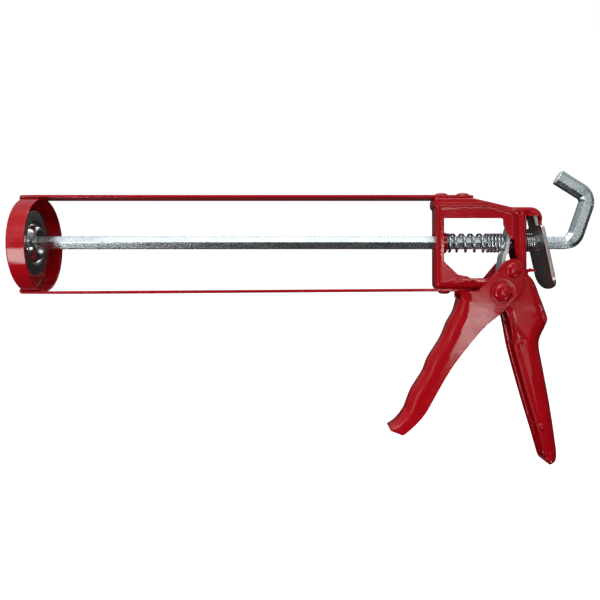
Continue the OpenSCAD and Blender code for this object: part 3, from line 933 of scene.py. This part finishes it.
def brake_plate():
    """The thumb release: a tongue in the roof's lip, a wide round foot, and a curl at the bottom."""
    half, corner, bottom, tongue = 13.5, 9.0, -26.4, 6.3
    top, shoulder, curl_z, curl = 15.95, 9, -19.6, 1.2
    foot = []
    for a in np.radians(np.arange(0, 91, 5)):
        foot.append((half * math.cos(a) ** 0.72, bottom + corner - corner * math.sin(a) ** 0.9))
    right = [(tongue, top), (tongue, shoulder + 0.6), (tongue + 0.6, shoulder), (half - 2, shoulder),
             (half - 0.6, shoulder - 0.6), (half, shoulder - 2)] + foot
    outline = np.array(right + [(-x, z) for x, z in right[-2::-1]])
    # the brake plate wears the darker zinc copy, painted shade for its face
    return plate("brake_release_plate", "brake_plate", "dark_zinc", SHADED_ZINC, outline[::-1],
                 hexagon(ROD_AF + 1.4),
                 lambda z: curl * np.clip((curl_z - z) / (curl_z - bottom), 0, 1) ** 1.5, -12.5, 285.7)


# ---------------------------------------------------------------- springs

def coil(name, node, turns, inner, wire):
    """A round wire wound round the rod.

    turns gives (turn, place along the gun) pairs.
    """
    turns = np.array(turns, float)
    steps, sides, last = 44, 14, turns[-1, 0]
    n = np.linspace(0, last, int(last * steps) + 1)
    n = np.concatenate([[n[0]], n, [n[-1]]])
    x = np.interp(n, turns[:, 0], turns[:, 1])
    r = inner + wire / 2
    a = 2 * math.pi * n
    line = np.stack([x, r * np.cos(a), ROD_Z + r * np.sin(a)], axis=1)
    out = np.stack([np.zeros(len(n)), np.cos(a), np.sin(a)], axis=1)
    across = np.cross(directions(line), out)
    rings = []
    for k in range(len(n)):
        cut_end = k in (0, len(n) - 1)
        size = wire / 2 * (0.7 if cut_end else 1.0)
        rings.append([line[k] + size * (math.cos(b) * out[k] + math.sin(b) * across[k])
                      for b in np.arange(sides) * 2 * math.pi / sides])
    obj = piece(name, node, "spring_steel", SPRING, *loft(rings))
    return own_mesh(obj)


# ---------------------------------------------------------------- rod and plunger

HOOK_X = 301.0
BENDS = [(7.8, 71.0, 16.5), (6.8, 77.0, 15.3)]  # radius, angle, and the straight leg that follows
SHOULDER_X, HEAD_X = 5.8, 2.4  # where the rod is turned down, and where its peened head starts
NECK_R = 2.5
BEND_STEPS = 24


def heading(a):
    """The way along the rod where it has turned up by an angle."""
    return np.array([math.cos(math.radians(a)), math.sin(math.radians(a))])


def outward(a):
    """The way to the outside of the bend there."""
    return np.array([math.sin(math.radians(a)), -math.cos(math.radians(a))])


def whole(half, top):
    """A section from its half: (towards the outside of the bend, sideways) shares of the bar's size."""
    return np.array(half + [(u, -v) for u, v in half[::-1]] + [(top[0], -top[1]), top])


DRAWN = whole([(0.03, 0.56), (-0.03, 0.56), (-0.5, 0.2885)], (0.5, 0.2885))
PRESSED = whole([(0.25, 0.515), (-0.33, 0.515), (-0.59, 0.25)], (0.59, 0.22))


def bar_outline(press, scale):
    """The bar's section with softened corners; press goes from as drawn to flattened on its sides."""
    p = ROD_AF * scale * (DRAWN * (1 - press) + PRESSED * press)
    out = []
    for k in range(len(p)):
        out += list(rounded([p[k - 1], p[k], p[(k + 1) % len(p)]], [0, 0.45, 0], 3)[1:-1])
    return out


def rod():
    """The hexagonal rod: a row of stations (x, z, turn, press, scale), a turned neck and a peened head."""
    stations = [(SHOULDER_X, 0, 0, 0, 0.92), (SHOULDER_X + 0.35, 0, 0, 0, 1), (SHOULDER_X + 40, 0, 0, 0, 1)]
    stations += [(x, 0, 0, 0, 1) for x in (120, 200, 260, 290)]
    end, turned = np.array([HOOK_X, 0.0]), 0.0
    for radius, angle, leg in BENDS:
        centre = end - radius * outward(turned)
        for u in np.arange(BEND_STEPS + 1) / BEND_STEPS:
            a = turned + angle * u
            press, scale = (1, 1 - 0.05 * math.sin(math.pi * u)) if turned else (step_up(1.6 * u), 1)
            stations.append((*(centre + radius * outward(a)), a, press, scale))
        turned += angle
        end = centre + radius * outward(turned) + leg * heading(turned)
    for short, scale in ((0.5, 1), (0.12, 0.96), (0, 0.88)):
        stations.append((*(end - short * heading(turned)), turned, 1, scale))
    rings = []
    for x, z, a, press, scale in stations:
        side = outward(a)
        rings.append([(x + side[0] * u, v, ROD_Z + z + side[1] * u) for u, v in bar_outline(press, scale)])
    bar = loft(rings)
    neck = on_rod(shank(NECK_R, SHOULDER_X + 1, HEAD_X + 1.1, 40))
    peened = [(r, -h) for r, h in head_profile(4.0, 1.2)]
    peened = placed(lathe(peened, 48), "x", np.array((HEAD_X + 1.2, 0, ROD_Z)))
    return piece("push_rod", "rod", "zinc_plate", ROD_ZINC, *join(bar, neck, peened), crease=24)


def plunger_disc():
    """The pressed disc: a raised ring round the rod, a groove and a wide flange."""
    rim, thickness = node_box("plunger_disc")[1][1], 1.15
    line = smooth([(2.55, 4.7), (4.6, 4.8), (5.6, 5.9), (6.6, 6.6), (7.8, 6.6), (8.8, 5.4), (9.8, 3.7),
                   (10.8, 3.42), (12.2, 4.1), (14, 4.2), (rim - 0.35, 4.2)], 5)
    back = line - rightward(line) * thickness
    tip = [(rim - 0.1, 4.35), (rim, 4.75), (rim - 0.1, 5.2)]
    profile = [tuple(p) for p in line] + tip + [tuple(p) for p in back[::-1]]
    profile.append(profile[0])
    return piece("plunger_plate", "plunger_disc", "zinc_plate", DISC_ZINC, *on_rod(lathe(profile, 112)))


def plunger_washer():
    """The washer under the rod's peened end."""
    low, high = node_box("plunger_washer")
    profile = soft_ring(NECK_R, 5.0, low[0], high[0], 0.2)
    return piece("rod_end_washer", "plunger_washer", "zinc_plate", PLATE_ZINC, *on_rod(lathe(profile, 64)))


# ---------------------------------------------------------------- build

front_cap()
strip("cradle_strip_top", "top_strip", 1, FRAME_TOP)
strip("cradle_strip_bottom", "bottom_strip", -1, -FRAME_FLOOR)
strip_rivets("strip_rivets_top", "top_strip_rivets", TOP_RIVETS, 1, 4.0, 2.0)
strip_rivets("strip_rivets_bottom", "bottom_strip_rivets", BOTTOM_RIVETS, -1, 3.3, 1.4)
frame_half("frame_shell_left", "frame_left", False)
frame_half("frame_shell_right", "frame_right", True)
grip_rivets()
rod_bush()
cross_rivet("pivot_rivet_headed", "pivot_rivet", PIVOT, TRIGGER_HALF + 0.3, 4.8, 2.1)
cross_ring("pivot_spacer_tube", "pivot_spacer", PIVOT, 4.0)
trigger()
cross_rivet("pusher_rivet", "pusher_pin", PUSHER, TRIGGER_HALF, 4.3, 2.0)
cross_ring("pusher_roller_ring", "pusher_roller", PUSHER, 3.6)
drive_plate()
drive_turns = [(0, 236.2), (1, 237.6), (5, 257.4), (9.5, 266)]
brake_turns = [(0, 279.5), (1, 280.6), (4, 284.2)]
coil("drive_coil", "drive_spring", drive_turns, 4.2, 1.4)
rod()
plunger_disc()
plunger_washer()
brake_plate()
coil("brake_coil", "brake_spring", brake_turns, 4.25, 0.9)


# ---------------------------------------------------------------- floor, light and camera

# lengths from here to the camera are metres
FLOOR_Z = -0.30
CENTRE = Vector((0.16, 0, -0.03))


def studio_bowl():
    """A pale floor that curves up all round into a wall. Only the camera sees it."""
    flat, bend, top = 2.2, 1.0, 3.2
    profile = [(0.0, 0.0), (flat, 0.0)]
    for k in range(1, 11):
        a = math.radians(9 * k)
        profile.append((flat + bend * math.sin(a), bend - bend * math.cos(a)))
    profile.append((flat + bend, top))
    verts, faces = lathe(profile, 64)
    mesh = bpy.data.meshes.new("studio_bowl")
    mesh.from_pydata([(x + CENTRE.x, y, z + FLOOR_Z) for x, y, z in verts], [], [f[::-1] for f in faces])
    mesh.polygons.foreach_set("use_smooth", [True] * len(faces))
    obj = bpy.data.objects.new("studio_bowl", mesh)
    bpy.context.scene.collection.objects.link(obj)
    paper = Shade("pale_paper", Base_Color=(0.8, 0.8, 0.8, 1), Roughness=0.9, Specular_IOR_Level=0.1,
                  Emission_Color=(1, 1, 1, 1), Emission_Strength=0.85)
    mesh.materials.append(paper.material)
    obj.visible_glossy = obj.visible_diffuse = obj.visible_shadow = False


def area_light(name, at, width, height, radiance):
    """A soft rectangular light at a place in metres, facing the object."""
    lamp = bpy.data.lights.new(name, "AREA")
    lamp.shape = "RECTANGLE"
    lamp.size, lamp.size_y = width, height
    lamp.energy = radiance * math.pi * width * height
    obj = bpy.data.objects.new(name, lamp)
    bpy.context.scene.collection.objects.link(obj)
    obj.location = at
    obj.rotation_mode = "QUATERNION"
    obj.rotation_quaternion = (Vector(at) - CENTRE).to_track_quat("Z", "Y")
    obj.visible_camera = False


def round_light(name, azimuth, elevation, distance, width, height, radiance):
    """An area light in a direction from the object: azimuth 0 is in front, 90 at the hook's end."""
    a, e = math.radians(azimuth), math.radians(elevation)
    way = Vector((math.sin(a) * math.cos(e), -math.cos(a) * math.cos(e), math.sin(e)))
    area_light(name, CENTRE + way * distance, width, height, radiance)


def sky():
    """A dim room: soft light from above, little from the sides and below."""
    world = bpy.data.worlds.new("studio")
    world.use_nodes = True
    tree = world.node_tree
    place = tree.nodes.new("ShaderNodeTexCoord").outputs["Generated"]
    split = tree.nodes.new("ShaderNodeSeparateXYZ")
    level = tree.nodes.new("ShaderNodeMapRange")
    tree.links.new(place, split.inputs[0])
    tree.links.new(split.outputs["Z"], level.inputs["Value"])
    for socket, value in (("From Min", 0.05), ("From Max", 0.9), ("To Min", 0.03), ("To Max", 0.6)):
        level.inputs[socket].default_value = value
    tree.links.new(level.outputs["Result"], tree.nodes["Background"].inputs["Strength"])
    tree.nodes["Background"].inputs["Color"].default_value = (0.92, 0.96, 1, 1)
    bpy.context.scene.world = world


studio_bowl()
sky()
round_light("overhead", -8, 62, 1.3, 1.0, 0.7, 0.95)
round_light("crown_strip", 0, 80, 1.2, 1.2, 0.12, 9)
round_light("front_key", -14, 36, 1.6, 0.9, 0.6, 3.3)
round_light("left_fill", -42, 8, 1.3, 0.5, 0.6, 1.1)
round_light("low_left", -60, -30, 1.3, 0.4, 0.3, 1.5)
round_light("low_right", 44, -34, 1.2, 0.18, 0.18, 16)
round_light("rear_fill", 170, 45, 1.4, 1.4, 0.8, 1.6)
area_light("trigger_glint", (0.545, -1.3, -0.108), 0.15, 0.13, 9)
area_light("grip_glint", (0.725, -1.3, -0.266), 0.05, 0.2, 3)
area_light("pillar_glint", (0.49, -1.3, 0.088), 0.05, 0.05, 18)
area_light("hook_glint", (0.84, -1.3, 0.24), 0.16, 0.3, 1.7)
area_light("ring_glint", (-0.18, -0.426, -0.24), 0.15, 0.3, 10)
area_light("rear_strip", (1.45, -0.25, 0.085), 1.0, 0.035, 5)

bpy.context.scene.view_settings.view_transform = "Standard"

CAMERA_AT = (161.8, -365.0, -29.0)  # millimetres
FOCAL_SHARE = 650 / 600  # focal length over the frame's width
camera = bpy.data.objects.new("camera", bpy.data.cameras.new("camera"))
bpy.context.scene.collection.objects.link(camera)
camera.location = [v * MM for v in CAMERA_AT]
camera.rotation_euler = (math.radians(90), 0, 0)
camera.data.sensor_width = 36
camera.data.lens = 36 * FOCAL_SHARE
camera.data.shift_x = -0.025
camera.data.shift_y = -0.005
camera.data.clip_start = 0.01
bpy.context.scene.camera = camera
